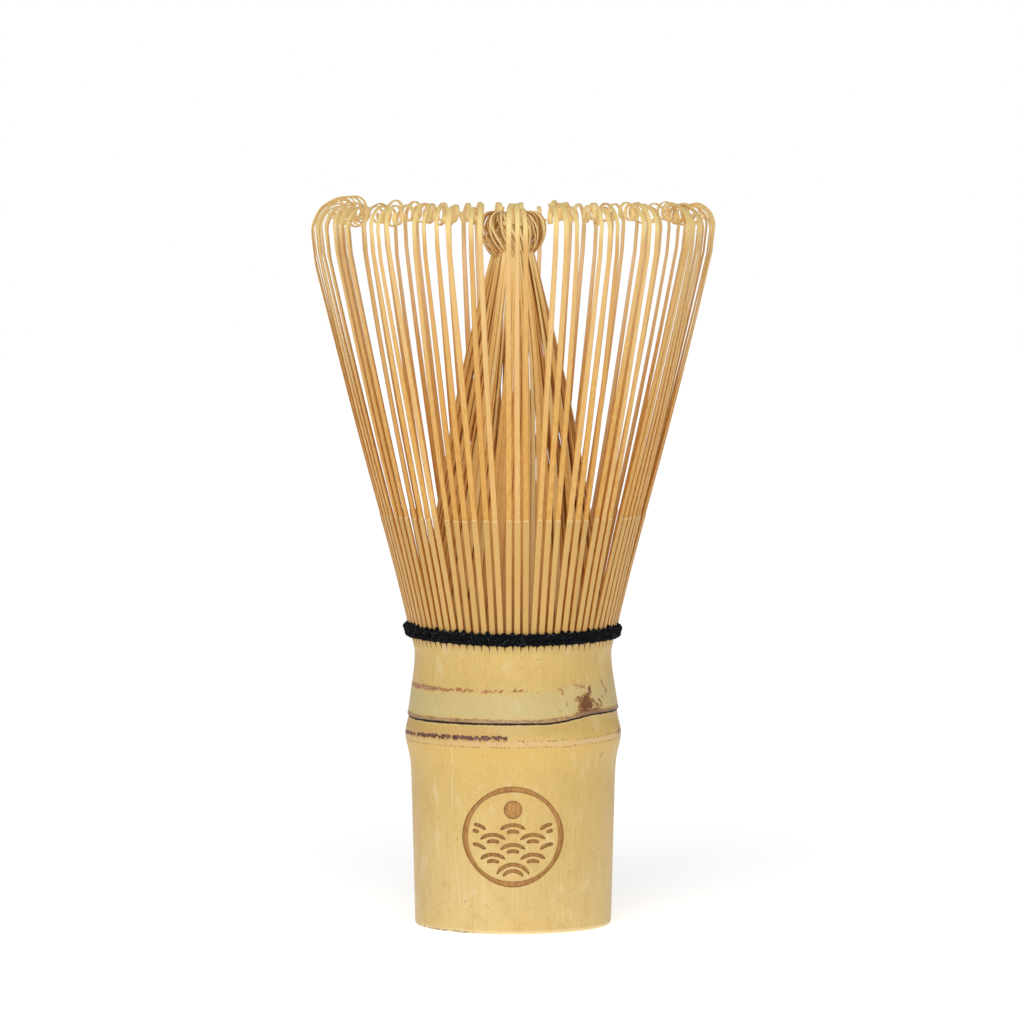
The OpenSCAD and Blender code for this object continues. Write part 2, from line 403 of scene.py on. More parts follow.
def brown_marks(m, arc, coarse, crumbs):
    """The stains, and the darker blotches over them, with torn edges."""
    torn_arc = arc + (m.noise(1.3, 1.3, detail=4, roughness=0.7, seed=20) - 0.5) * 2.6
    torn_z = m.z + (m.noise(1.3, 1.3, detail=4, roughness=0.7, seed=24) - 0.5) * 2.6
    stains = marked(torn_arc, torn_z, STAINS, crumbs * 4.6 + coarse * 1.2)
    m.tint(192, 136, 88, stains.step(0.38, 0.66) * 0.75)
    m.tint(158, 92, 46, stains.step(0.82, 0.95) * 0.7)
    blotch = marked(torn_arc, torn_z, BLOTCH, crumbs * 4.2 + coarse * 1.2)
    m.tint(182, 122, 62, blotch.step(0.24, 0.36) * 0.85)
    m.tint(128, 74, 34, blotch.step(0.4, 0.66) * 0.95)
    m.tint(100, 56, 28, blotch.step(0.85, 1.0) * 0.7)


def sheath_crack(m, line, turn, coarse, crumbs, dots):
    """A crack along the sheath line, painted near-black as its shade, under a streaked, pinkish lip."""
    combed = m.noise(4.5, 1.6, detail=4, roughness=0.75, seed=13)
    top_edge = line + (combed - 0.5) * 0.8 + coarse * 0.6
    lip = line.step(0.02, 0.16) * top_edge.step(0.72, 0.5)
    m.tint(178, 138, 106, lip * (combed.step(0.3, 0.6) * 0.6 + 0.3))
    m.tint(104, 68, 48, lip * combed.step(0.52, 0.60) * 0.8)
    edge = top_edge.near(0.56, 0.10) * dots.step(0.4, 0.55)
    m.tint(134, 84, 60, edge * 0.75)
    second = line.near(0.26, 0.07) * turn.step(28.0, 48.0)
    m.tint(98, 66, 48, second * 0.8)
    ragged = crumbs * 0.45 + (combed - 0.5) * 0.35
    heavy = m.noise(0.5, 0.1, detail=2, seed=25).step(0.35, 0.65) * 1.6 + 3.8
    # painted shade: the crack is painted near-black, as the shade in its groove
    crack = ((line + ragged + 0.05) * heavy).bell()
    m.tint(44, 30, 22, crack.step(0.25, 0.75))
    # painted highlight: a thin pale line just below the crack
    m.tint(240, 214, 150, line.near(-0.32, 0.1) * 0.35)


def scratches_and_specks(m, arc, coarse):
    thin = m.noise(4.0, 0.03, detail=1, seed=14)
    scratched = thin.step(0.70, 0.73) * m.noise(0.35, 0.10, detail=1, seed=15).step(0.48, 0.58)
    long_marks = marked(arc + coarse * 0.3, m.z, SCRATCHES) * m.noise(0.8, 0.5, seed=18).step(0.35, 0.5)
    scratched = scratched.math("MAXIMUM", long_marks)
    m.tint(246, 228, 184, scratched * 0.6)
    specks = m.noise(2.3, 2.0, detail=0, seed=16).step(0.785, 0.82)
    m.tint(176, 112, 58, specks * 0.75)


def worn_foot(m, turn):
    """The foot's edge is pale, and chipped dark on the left."""
    m.tint(240, 220, 172, m.z.step(0.7, 0.25) * 0.7)
    rubbed = m.z.step(0.5, 0.1) * turn.step(-10.0, -35.0)
    m.tint(112, 78, 46, rubbed * m.noise(1.5, 4.0, seed=17).step(0.4, 0.6))


def bamboo_skin():
    """The culm's polished skin, with its streaks, the scars round the node and a few brown blotches."""
    m = Surface("bamboo_skin")
    r = (m.x * m.x + m.y * m.y).math("SQRT")
    turn = (m.x / r).math("ARCTAN2", (m.y / r) * -1) * (180 / math.pi)
    arc = turn * TO_ARC
    mottle, relief = skin_tones(m)
    coarse = m.noise(0.9, 0.9, detail=3, seed=5) - 0.5
    jitter = m.noise(2.2, 2.2, detail=3, seed=6) - 0.5
    crumbs = m.noise(4.5, 4.5, detail=3, roughness=0.7, seed=12) - 0.5
    dots = m.noise(3.0, 2.2, detail=3, roughness=0.7, seed=7)
    line = m.z - sheath_height(turn) + jitter * 0.10
    warm_and_olive(m, line, coarse, mottle)
    ridge_band(m, turn, coarse, crumbs, mottle, dots)
    dark_dashes(m, turn, coarse, crumbs)
    upper_scar(m, turn, coarse, crumbs)
    brown_marks(m, arc, coarse, crumbs)
    sheath_crack(m, line, turn, coarse, crumbs, dots)
    scratches_and_specks(m, arc, coarse)
    worn_foot(m, turn)
    m.shader.inputs["Coat Weight"].default_value = 0.10
    m.shader.inputs["Coat Roughness"].default_value = 0.4
    return m.finish(mottle * 0.16 + 0.42, relief, 0.05)


def bamboo_pith():
    """The raw inner wall: pale, matt and full of fibres."""
    m = Surface("bamboo_pith")
    fibres = m.noise(3.2, 0.06, detail=4, roughness=0.7, seed=21)
    stain = m.noise(0.25, 0.15, detail=3, seed=22)
    m.paint((222, 190, 136), (186, 146, 92), fibres.step(0.5, 0.75) * 0.6)
    m.tint(240, 218, 170, fibres.step(0.45, 0.25) * 0.5)
    m.tint(170, 124, 74, stain.step(0.52, 0.75) * 0.4)
    return m.finish(0.75, fibres, 0.08)


def bamboo_end_grain():
    """The sawn foot: pale wood with brown bundles, packed closer towards the skin."""
    m = Surface("bamboo_end_grain")
    cells = m.add("ShaderNodeTexVoronoi", {"Vector": m.stretched(1, 1, 0.1), "Scale": 1.7})
    spot = Field(m.tree, cells.outputs["Distance"])
    r = (m.x * m.x + m.y * m.y).math("SQRT")
    dense = r.step(11.0, 15.0)
    bundle = (spot - dense * 0.12).step(0.34, 0.16)
    saw = m.noise(0.4, 0.4, detail=4, seed=31)
    m.paint((226, 196, 140), (206, 170, 110), saw.step(0.4, 0.65))
    m.tint(150, 104, 58, bundle * 0.8)
    m.tint(196, 152, 86, dense * 0.35)
    return m.finish(0.7, spot, 0.06)


def burnt_floor():
    """The carved crest's floor, scorched brown with the fibres showing."""
    m = Surface("burnt_floor")
    fibres = m.noise(3.0, 0.3, detail=4, roughness=0.7, seed=41)
    cloud = m.noise(1.1, 1.1, detail=3, seed=42)
    m.paint((201, 149, 84), (172, 118, 62), fibres.step(0.42, 0.66))
    m.tint(150, 98, 58, cloud.step(0.5, 0.72) * 0.5)
    return m.finish(0.75, fibres, 0.04)


def burnt_edge():
    """The crest's steep sides: scorched, and painted darker than the floor as painted shade in the carved walls.
    """
    m = Surface("burnt_edge")
    char = m.noise(3.0, 3.0, detail=3, seed=43)
    # painted shade: the walls are painted darkest, as the shade in the carved lines
    m.paint((120, 74, 40), (92, 54, 30), char.step(0.4, 0.6))
    return m.finish(0.8)


BARK_LINE_Z = FLEX_Z / MM + 16.75
CURLS_Z = (103.0, 107.0)  # heights, in millimetres, between which the tines are painted pale, as painted light on the curls


def tine_skin():
    """The tines' outer faces: the culm's skin below the bark line, and shaved wood above it."""
    m = Surface("tine_skin")
    own = m.attribute("tone")
    fibres = m.noise(3.2, 0.05, detail=4, roughness=0.65, seed=51)
    fine = m.noise(9.0, 0.25, detail=2, seed=52)
    waver = m.noise(0.5, 0.02, detail=1, seed=53) - 0.5
    above_thread = m.z.step(43.5, 46.0)
    skin_tones(m)
    m.tint(212, 164, 90, above_thread * 0.65)
    m.tint(202, 156, 82, own.step(0.5, 1.0) * 0.5 * above_thread)
    skin = m.colour
    m.paint((232, 180, 92), (214, 152, 66), fibres.step(0.38, 0.68))
    # painted light: the shaved wood is painted paler higher up
    m.tint(244, 206, 138, m.z.step(72.0, 100.0) * 0.6)
    m.tint(216, 154, 68, own.step(0.55, 1.0) * 0.5)
    m.tint(244, 210, 150, own.step(0.4, 0.0) * 0.45)
    # painted light: palest in the curls
    m.tint(255, 228, 152, m.z.step(*CURLS_Z) * 0.85)
    above_line = m.z - BARK_LINE_Z + waver * 1.1
    m.colour = m.blend(skin, m.colour, above_line.step(-0.05, 0.12))
    # painted highlight: a pale band along the bark line, where the skin's step catches the light
    m.tint(246, 224, 176, above_line.near(-0.02, 0.11) * fine.step(0.35, 0.5) * 0.6)
    m.tint(184, 134, 72, fine.step(0.58, 0.78) * 0.25)
    return m.finish(fibres * 0.2 + 0.42, fibres * 0.7 + fine * 0.3, 0.03)


def tine_side():
    """The tines' cut sides: bare amber wood and partly painted shade, painted paler up to the curls as painted
    light.
    """
    m = Surface("tine_side")
    own = m.attribute("tone")
    fibres = m.noise(4.0, 0.08, detail=4, roughness=0.65, seed=56)
    # amber cut wood, its darkness partly painted shade on the sides
    m.paint((216, 150, 60), (190, 118, 38), fibres.step(0.38, 0.68))
    # painted light: paler higher up, and palest in the curls
    m.tint(242, 202, 128, m.z.step(72.0, 104.0) * 0.75)
    m.tint(252, 218, 146, m.z.step(*CURLS_Z) * 0.85)
    m.tint(176, 106, 38, own.step(0.6, 1.0) * 0.35)
    return m.finish(0.6, fibres, 0.03)


def tine_pith():
    """The tines' inner faces, from the paler and pinker middle of the culm's wall."""
    m = Surface("tine_pith")
    own = m.attribute("tone")
    fibres = m.noise(3.6, 0.06, detail=4, roughness=0.65, seed=61)
    m.paint((238, 182, 100), (224, 156, 76), fibres.step(0.4, 0.68))
    # painted light: paler higher up, and palest in the curls
    m.tint(252, 218, 172, m.z.step(80.0, 104.0) * 0.75)
    m.tint(255, 230, 168, m.z.step(*CURLS_Z) * 0.85)
    m.tint(250, 224, 180, own.step(0.5, 0.0) * 0.4)
    # painted shade: darker towards the thread, deep inside the whisk
    m.tint(210, 150, 78, m.z.step(70.0, 46.0) * 0.6)
    return m.finish(0.6, fibres, 0.03)


def inner_bamboo():
    """The inner tines' faces: golden, painted paler at the crown as painted light and darker towards the thread as
    painted shade.
    """
    m = Surface("inner_bamboo")
    own = m.attribute("tone")
    fibres = m.noise(5.0, 0.06, detail=4, roughness=0.7, seed=71)
    m.paint((255, 206, 118), (243, 180, 86), fibres.step(0.4, 0.68))
    # painted light: paler towards the crown
    m.tint(255, 217, 138, m.z.step(84.0, 104.0) * 0.6)
    m.tint(255, 232, 164, m.z.step(98.0, 104.0) * 0.8)
    m.tint(200, 130, 54, own.step(0.62, 1.0) * 0.6)
    # painted shade: darker towards the thread, behind the outer tines
    m.tint(176, 112, 48, m.z.step(66.0, 46.0) * 0.6)
    m.tint(255, 226, 154, own.step(0.5, 0.0) * 0.65)
    return m.finish(fibres * 0.2 + 0.45, fibres, 0.03)


def inner_side():
    """The inner tines' cut sides and backs: painted darker than their faces as painted shade between the strands.
    """
    m = Surface("inner_side")
    fibres = m.noise(4.0, 0.08, detail=3, seed=76)
    # painted shade: the sides are painted dark to draw the shade between the strands
    m.paint((196, 128, 56), (166, 98, 36), fibres.step(0.38, 0.68))
    # painted light: paler in the crown
    m.tint(236, 178, 106, m.z.step(84.0, 106.0) * 0.45)
    return m.finish(0.6)


def black_cotton():
    """The thread: black, with small grey-blue spots of painted sheen."""
    m = Surface("black_cotton")
    fibres = m.noise(6.0, 9.0, detail=4, roughness=0.7, seed=71)
    sheen_noise = m.noise(1.6, 2.4, detail=3, seed=72)
    # painted sheen: small grey-blue spots standing in for the light on the thread
    painted_sheen = sheen_noise.step(0.54, 0.68) * fibres.step(0.45, 0.62) * 0.7
    m.colour = m.blend((0.004, 0.004, 0.0045, 1), (0.013, 0.014, 0.018, 1), fibres.step(0.45, 0.7))
    m.colour = m.blend(m.colour, (0.05, 0.053, 0.065, 1), painted_sheen)
    m.shader.inputs["Specular IOR Level"].default_value = 0.06
    return m.finish(0.85, fibres, 0.06)


def cotton_lint():
    """The thread's loose fibres, which catch the light and look grey."""
    m = Surface("cotton_lint")
    m.colour = m.blend((0.16, 0.18, 0.24, 1), (0.36, 0.38, 0.44, 1), m.noise(0.6, 0.6, seed=73))
    return m.finish(0.9)


def paper_floor():
    """Seamless white paper, which glows a little so that it stays white."""
    m = Surface("pale_floor")
    m.shader.inputs["Base Color"].default_value = (0.95, 0.95, 0.95, 1)
    m.shader.inputs["Emission Color"].default_value = (1, 1, 1, 1)
    m.shader.inputs["Emission Strength"].default_value = 0.57
    m.shader.inputs["Roughness"].default_value = 0.9
    return m.material


# ---- mesh helpers


def mesh_object(name, vertices, faces, materials, indices=None):
    mesh = bpy.data.meshes.new(name)
    mesh.from_pydata([tuple(v) for v in vertices], [], faces)
    for material in materials:
        mesh.materials.append(material)
    if indices is not None:
        mesh.polygons.foreach_set("material_index", indices)
    mesh.polygons.foreach_set("use_smooth", [True] * len(mesh.polygons))
    mesh.update()
    obj = bpy.data.objects.new(name, mesh)
    bpy.context.scene.collection.objects.link(obj)
    return obj


class Solids:
    """Collects closed sweeps for one mesh, with a material and a tone for each face and vertex."""

    def __init__(self):
        self.vertices, self.faces, self.indices, self.tones = [], [], [], []
        self.sharp = []

    def sweep(self, rings, face_materials, tone=0.5, closed=False, sharp=()):
        """rings is (n, m, 3): n rings of m points. Side j of each ring has material face_materials[j].
        Lengthwise edges at the points in sharp stay crisp."""
        n, m, _ = rings.shape
        start = len(self.vertices)
        self.vertices.extend(map(tuple, rings.reshape(-1, 3)))
        self.tones.extend([tone] * (n * m))
        for i in range(n if closed else n - 1):
            a, b = start + i * m, start + ((i + 1) % n) * m
            for j in range(m):
                k = (j + 1) % m
                self.faces.append((a + j, a + k, b + k, b + j))
                self.indices.append(face_materials[j])
                if j in sharp:
                    self.sharp.append((a + j, b + j))
        if not closed:
            self.faces.append(tuple(start + j for j in reversed(range(m))))
            self.faces.append(tuple(start + (n - 1) * m + j for j in range(m)))
            self.indices.extend([face_materials[0]] * 2)
            for ring_start in (start, start + (n - 1) * m):
                self.sharp.extend((ring_start + j, ring_start + (j + 1) % m) for j in range(m))

    def object(self, name, materials):
        obj = mesh_object(name, self.vertices, self.faces, materials, self.indices)
        tone = obj.data.attributes.new("tone", "FLOAT", "POINT")
        tone.data.foreach_set("value", self.tones)
        if self.sharp:
            wanted = {frozenset(e) for e in self.sharp}
            crisp = [frozenset(e.vertices) in wanted for e in obj.data.edges]
            attribute = obj.data.attributes.new("sharp_edge", "BOOLEAN", "EDGE")
            attribute.data.foreach_set("value", crisp)
        return obj


def circle(count):
    """This many angles, evenly all the way round."""
    return np.linspace(0, 2 * math.pi, count, endpoint=False)


def around(r, angle, z):
    """Points at a radius, an angle from +X and a height."""
    return np.stack(np.broadcast_arrays(r * np.cos(angle), r * np.sin(angle), z), 1)


def unit(vectors):
    return vectors / np.linalg.norm(vectors, axis=1)[:, None]


# ---- the culm


CULM_COLUMNS = 360
GRAIN = np.random.default_rng(11)


def wander(angle, harmonics, rng):
    """A smooth random curve round the culm, of about unit height."""
    value = np.zeros_like(angle)
    for k in harmonics:
        value += np.cos(k * angle + rng.uniform(0, 2 * math.pi)) * rng.uniform(0.5, 1)
    return value / math.sqrt(len(harmonics))


def turn_of(angle):
    """Degrees from the front, positive towards +X, of an angle measured from +X."""
    return np.degrees(np.arctan2(np.cos(angle), -np.sin(angle)))


def culm_surface(angle, z):
    """Radius of the culm's outside at an angle and height, both arrays, in metres: the sheath line is a
    crack, and the culm stands a little proud above it."""
    line = z / MM - sheath_height(turn_of(angle))
    lip = 0.27 * ease((line + 0.03) / 0.15) * np.exp(-np.maximum(line, 0) / 1.5)
    crack = -0.13 * bell(line / 0.10)
    crease = -0.06 * bell((z / MM - LOWER_SCAR_Z) / 0.22) * ease(-turn_of(angle) / 10)
    return face_r(z) + (lip + crack + crease) * MM


def culm_rows():
    """Heights of the rows of the culm's outside: close together round the node, most of all at the
    sheath line."""
    node_from, node_to = HANDLE_TOP - 1.0 * MM, NODE_TOP + 2.0 * MM
    line_from, line_to = (SHEATH_Z - 0.35) * MM, (SHEATH_Z + 0.8) * MM
    foot = np.array([0.30, 0.5, 0.8, 1.2]) * MM
    handle = np.linspace(1.7 * MM, node_from, 62)
    ridge = np.linspace(node_from, line_from, 46)[1:]
    line = np.linspace(line_from, line_to, 26)[1:]
    scar = np.linspace(line_to, node_to, 42)[1:]
    neck = np.linspace(node_to, SPLIT_Z, 15)[1:]
    return np.concatenate([foot, handle, ridge, line, scar, neck])


def along_sheath(angle, z):
    """Bends the row at height z to run beside the sheath line."""
    level = z / MM - SHEATH_Z
    follow = ease((level + 3.2) / 2.6) * (1 - ease((level - 0.9) / 3.2))
    return z + follow * (sheath_height(turn_of(angle)) - SHEATH_Z) * MM


def crest_strokes():
    """Centre lines of the crest's carved lines, as (points, half widths, closed) in millimetres: a ring
    round a sun and overlapping waves."""
    ring_r, ring_half = 7.2, 0.38
    t = circle(144)
    ring = np.stack([ring_r * np.cos(t), ring_r * np.sin(t)], 1)
    strokes = [(ring, ring_half * (1 + 0.18 * np.cos(4 * t)), True)]
    sun_r = 1.4
    across = sun_r * np.sin(np.linspace(-1.5, 1.5, 25))
    strokes.append((np.stack([0 * across, 4.1 + across], 1), np.sqrt(sun_r ** 2 - across ** 2), False))
    wave_r, gap, line_half, rows = 3.0, 0.34, 0.29, 5
    shortest = 36  # points in a run times its radius, below which it would be a speck
    inside_r = ring_r - ring_half - gap - line_half
    waves = [[((2 * column + row % 2) * wave_r, -6.9 + 1.5 * row) for column in range(-2, 3)]
             for row in range(rows)]
    for row in range(rows):
        in_front = [centre for lower in waves[:row] for centre in lower]
        for x, y in waves[row]:
            for r in (wave_r - line_half, wave_r - line_half - 0.95, wave_r - line_half - 1.9):
                a = np.linspace(math.pi, 0, 121)
                arc = np.stack([x + r * np.cos(a), y + r * np.sin(a)], 1)
                shown = np.hypot(arc[:, 0], arc[:, 1]) < inside_r
                for x2, y2 in in_front:
                    shown &= np.hypot(arc[:, 0] - x2, arc[:, 1] - y2) > wave_r + gap + line_half
                for run in np.split(np.arange(len(a)), np.flatnonzero(np.diff(shown)) + 1):
                    if shown[run[0]] and len(run) * r > shortest:
                        points = arc[run[::3]]
                        u = np.linspace(0, 1, len(points))
                        taper = np.sqrt(np.clip(np.minimum(u, 1 - u) * 7, 0.1, 1))
                        strokes.append((points, line_half * taper, False))
    return strokes


CREST_Z = 14.8 * MM
CREST_DEPTH = 0.3 * MM


def crest_cutter(floor, edge):
    """One closed solid for each stroke. Its inner face keeps an even depth below the culm's skin."""
    vertices, faces, indices = [], [], []
    across = 4
    for points, half, closed in crest_strokes():
        n = len(points)
        before, after = (np.roll(points, 1, 0), np.roll(points, -1, 0)) if closed else (
            np.vstack([points[:1], points[:-1]]), np.vstack([points[1:], points[-1:]]))
        direction = unit(after - before)
        normal = np.stack([-direction[:, 1], direction[:, 0]], 1)
        start = len(vertices)
        for level in ("floor", "sky"):
            for i in range(n):
                for j in range(across):
                    offset = half[i] * mix(-1, 1, j / (across - 1))
                    x, z = (points[i] + normal[i] * offset) * MM + (0, CREST_Z)
                    r = face_r(z) + (-CREST_DEPTH if level == "floor" else 1.0 * MM)
                    vertices.append((x, -math.sqrt(r * r - x * x), z))
        sky = start + n * across
        for i in range(n if closed else n - 1):
            k = (i + 1) % n
            for j in range(across - 1):
                a, b = i * across + j, k * across + j
                faces.append((start + a, start + a + 1, start + b + 1, start + b))
                faces.append((sky + b, sky + b + 1, sky + a + 1, sky + a))
                indices.extend([0, 1])
            for j, flip in ((0, False), (across - 1, True)):
                a, b = i * across + j, k * across + j
                quad = (start + a, start + b, sky + b, sky + a)
                faces.append(quad[::-1] if flip else quad)
                indices.append(1)
        if not closed:
            for i, flip in ((0, True), (n - 1, False)):
                for j in range(across - 1):
                    a = i * across + j
                    quad = (start + a, start + a + 1, sky + a + 1, sky + a)
                    faces.append(quad[::-1] if flip else quad)
                    indices.append(1)
    return mesh_object("crest_cutter", vertices, faces, [floor, edge], indices)


def sharpen_seams(mesh):
    """Keeps every edge between two materials crisp."""
    met = {}
    for polygon in mesh.polygons:
        for key in polygon.edge_keys:
            met.setdefault(key, set()).add(polygon.material_index)
    crisp = [len(met.get(edge.key, ())) > 1 for edge in mesh.edges]
    if "sharp_edge" not in mesh.attributes:
        mesh.attributes.new("sharp_edge", "BOOLEAN", "EDGE")
    mesh.attributes["sharp_edge"].data.foreach_set("value", crisp)


def carve(obj, cutter):
    """Cuts the cutter out of obj. The cut faces keep the cutter's materials."""
    cut = obj.modifiers.new("carve", "BOOLEAN")
    cut.operation = "DIFFERENCE"
    cut.solver = "EXACT"
    cut.material_mode = "TRANSFER"
    cut.object = cutter
    graph = bpy.context.evaluated_depsgraph_get()
    mesh = bpy.data.meshes.new_from_object(obj.evaluated_get(graph))
    obj.modifiers.clear()
    old = obj.data
    obj.data = mesh
    sharpen_seams(mesh)
    bpy.data.meshes.remove(old)
    data = cutter.data
    bpy.data.objects.remove(cutter)
    bpy.data.meshes.remove(data)


def culm_rings():
    """Rings of the culm and the material of each: up its outside, down its bores and back out across its
    sawn foot."""
    angle = circle(CULM_COLUMNS)
    rings, materials = [], []

    def ring(radius, z, material):
        rings.append(around(radius, angle, z))
        materials.append(material)

    foot_wave = wander(angle, (1, 2, 5), GRAIN) * 0.05 * MM
    bulge = wander(angle, (2, 3), GRAIN) * 0.05 * MM
    chips = np.clip(wander(angle, (9, 14, 23, 31), GRAIN) - 0.9, 0, 1) * 0.18 * MM
    # outside, from the foot up
    fibre = wander(angle, (61, 83, 97), np.random.default_rng(3)) * 0.006 * MM
    for row in culm_rows():
        z = along_sheath(angle, np.full_like(angle, row))
        near_end = bell(row / (1.0 * MM)) + ease((row - NODE_TOP) / (SPLIT_Z - NODE_TOP))
        ring(culm_surface(angle, z) + (bulge + fibre) * (1 - near_end), z, 0)
    # over the top of the neck and down the inside of the upper bore
    top = face_r(SPLIT_Z)
    inner_lip = INNER_ROOT_R + 0.35 * MM
    peeled = INNER_ROOT_R - 0.5 * MM
    ring(mix(top, inner_lip, 0.5), SPLIT_Z, 1)
    ring(peeled, SPLIT_Z, 1)
    ring(UPPER_HOLLOW_R, SPLIT_Z - 0.8 * MM, 1)
    for z in np.linspace(SPLIT_Z - 2 * MM, DIAPHRAGM[1].z + 0.6 * MM, 7):
        ring(UPPER_HOLLOW_R + wander(angle, (3, 7), GRAIN) * 0.04 * MM, z, 1)
    ring(UPPER_HOLLOW_R - 0.4 * MM, DIAPHRAGM[1].z + 0.1 * MM, 1)
    # the lower bore
    for z in np.linspace(DIAPHRAGM[1].z, 0.6 * MM, 16):
        ring(HOLLOW_R + wander(angle, (3, 5), np.random.default_rng(5)) * 0.03 * MM, z, 1)
    # the sawn foot, from the bore out
    foot_r = face_r(0.3 * MM)
    ring(HOLLOW_R + 0.06 * MM, 0.2 * MM, 1)
    ring(HOLLOW_R + 0.3 * MM, 0.0, 2)
    for t in (0.25, 0.5, 0.75):
        ring(mix(HOLLOW_R + 0.3 * MM, foot_r - 0.3 * MM, t), 0.0, 2)
    ring(foot_r - 0.24 * MM - chips, 0.0, 2)
    ring(foot_r - 0.06 * MM - chips * 0.5, 0.12 * MM + np.abs(foot_wave) * 0.5, 0)
    return rings, materials


def make_culm(skin, pith, end_grain, floor, edge):
    """Handle, node and neck as one grown piece, with the crest carved in."""
    rings, materials = culm_rings()
    columns = CULM_COLUMNS
    faces, indices = [], []
    for i in range(len(rings)):
        following = (i + 1) % len(rings)
        a, b = i * columns, following * columns
        for j in range(columns):
            k = (j + 1) % columns
            faces.append((a + j, a + k, b + k, b + j))
            indices.append(materials[following])
    culm = mesh_object("culm", np.concatenate(rings), faces, [skin, pith, end_grain], indices)
    carve(culm, crest_cutter(floor, edge))
    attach(culm, "culm")
    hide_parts("handle", "node_ring", "tine_collar")


def make_diaphragm(pith):
    """The partition across the node: dished, with the ring that it grew out of."""
    angle = circle(144)
    low, high = DIAPHRAGM[0].z, DIAPHRAGM[1].z
    rings = []

    def disc(z_edge, dish, outward):
        radii = np.linspace(0.03, 1, 26)
        for f in (radii if outward else radii[::-1]):
            wave = 1 + 0.02 * wander(angle, (3, 5, 8), np.random.default_rng(7)) * f
            r = HOLLOW_R * f * np.where(f < 1, wave, 1)
            z = z_edge + dish * (1 - f ** 2.4) + 0.05 * MM * math.sin(f * 40)
            rings.append(around(r, angle, z))

    disc(low + 0.15 * MM, 0.7 * MM, True)
    disc(high - 0.15 * MM, 0.1 * MM, False)
    solids = Solids()
    solids.sweep(np.array(rings), [0] * len(angle))
    diaphragm = solids.object("diaphragm", [pith])
    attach(diaphragm, "culm")
    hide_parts("node_diaphragm")


# ---- tines


def walk(start, heading, moves, turn_step=math.radians(8)):
    """A path in the upright plane through the axis, as points (r, z) and headings. heading is the lean
    out from upright. Each move is (length, turn): an arc of that length, turning out where turn is
    positive."""
    points, headings = [np.array(start)], [heading]
    for length, turn in moves:
        pieces = max(int(abs(turn) / turn_step), int(length / (4 * MM)), 1)
        pieces = min(pieces, max(int(length / (0.12 * MM)), 1))
        for _ in range(pieces):
            half = headings[-1] + turn / pieces / 2
            points.append(points[-1] + length / pieces * np.array([math.sin(half), math.cos(half)]))
            headings.append(headings[-1] + turn / pieces)
    return np.array(points), np.array(headings)


def lengths_along(points):
    return np.concatenate([[0], np.cumsum(np.linalg.norm(np.diff(points, axis=0), axis=1))])


def place(points, headings, azimuth, sway):
    """Turns a path in the upright plane into row-frame points and outward directions. azimuth may vary
    along the path; sway moves each point sideways."""
    azimuth = np.broadcast_to(azimuth, len(points))
    out = np.stack([np.cos(azimuth), np.sin(azimuth), np.zeros(len(points))], 1)
    sideways = np.stack([-np.sin(azimuth), np.cos(azimuth), np.zeros(len(points))], 1)
    up = np.array([0, 0, 1.0])
    path = out * points[:, :1] + up * points[:, 1:] + sideways * sway[:, None]
    normal = out * np.cos(headings)[:, None] - up * np.sin(headings)[:, None]
    return path, normal


def blade(path, normal, half_w, out_t, in_t, bevel, twist, inner_share=0.88):
    """Rings of a flat strip with eased edges, along a path whose outward direction is near normal. The
    outer face is crowned a little, as the culm is."""
    tangent = unit(np.gradient(path, axis=0))
    b = unit(np.cross(tangent, normal))
    n = np.cross(b, tangent)
    c, s = np.cos(twist)[:, None], np.sin(twist)[:, None]
    n, b = n * c + b * s, b * c - n * s
    w, o, i, e = half_w[:, None], out_t[:, None], in_t[:, None], bevel[:, None]
    wi = w * inner_share
    crown = np.minimum(0.012 * MM + e * 0.4, o * 0.15)
    section = [
        n * (o + crown), b * (w - e) + n * o, b * w + n * (o - e),
        b * wi - n * (i - e), b * (wi - e) - n * i,
        -b * (wi - e) - n * i, -b * wi - n * (i - e),
        -b * w + n * (o - e), -b * (w - e) + n * o,
    ]
    return np.stack([path + p for p in section], 1)


SKIN, PITH, SIDE = 0, 1, 2
BLADE_MATERIALS = [SKIN, SIDE, SIDE, SIDE, PITH, SIDE, SIDE, SIDE, SKIN]
BLADE_SHARP = (1, 2, 3, 4, 5, 6, 7, 8)


LONGEST_REACH = min(cad_box[1].x, cad_box[1].y, -cad_box[0].x, -cad_box[0].y) - 0.16 * MM


def clumps(rng):
    """Neighbouring tines lean together in clumps. Gives each tine its clump's centre, pull and curl
    side."""
    shares = []
    while len(shares) < TINES:
        to_right = float(bell((turn_of((len(shares) + 2) * PITCH) - 66) / 42))
        size = int(rng.choice([3, 5, 6] if to_right > 0.5 else [1, 2, 2, 2, 3, 3, 4]))
        size = min(size, TINES - len(shares))
        middle = len(shares) + (size - 1) / 2
        turn = float(turn_of((middle + 0.5) * PITCH))
        loose = 0.45 + 0.55 * bell(turn / 70) + 0.4 * to_right
        pull = rng.uniform(0.15, 0.52) * loose + 0.26 * to_right
        side = rng.choice([-1, 1])
        shares.extend([(middle + rng.normal(0, 0.25), pull, side)] * size)
    return shares


ASIDE = -0.25  # all tines lean to one side by this share of their pitch


STUB_ROWS = 12  # rows of an outer tine below its hinge
ROOT_T = 0.42 * MM
SHOULDER_TURN = math.radians(72)
OVERHANG_TURN = math.radians(18)
OVERHANG_LEAN = math.radians(81)
SLOW_R = 18 * MM  # radius of the slow bend below the shoulder
SKIN_STEP = 0.07 * MM  # how far the shaved wood lies below the skin
STEP_LENGTH = 0.14 * MM
BEND_GAP = 0.1 * MM


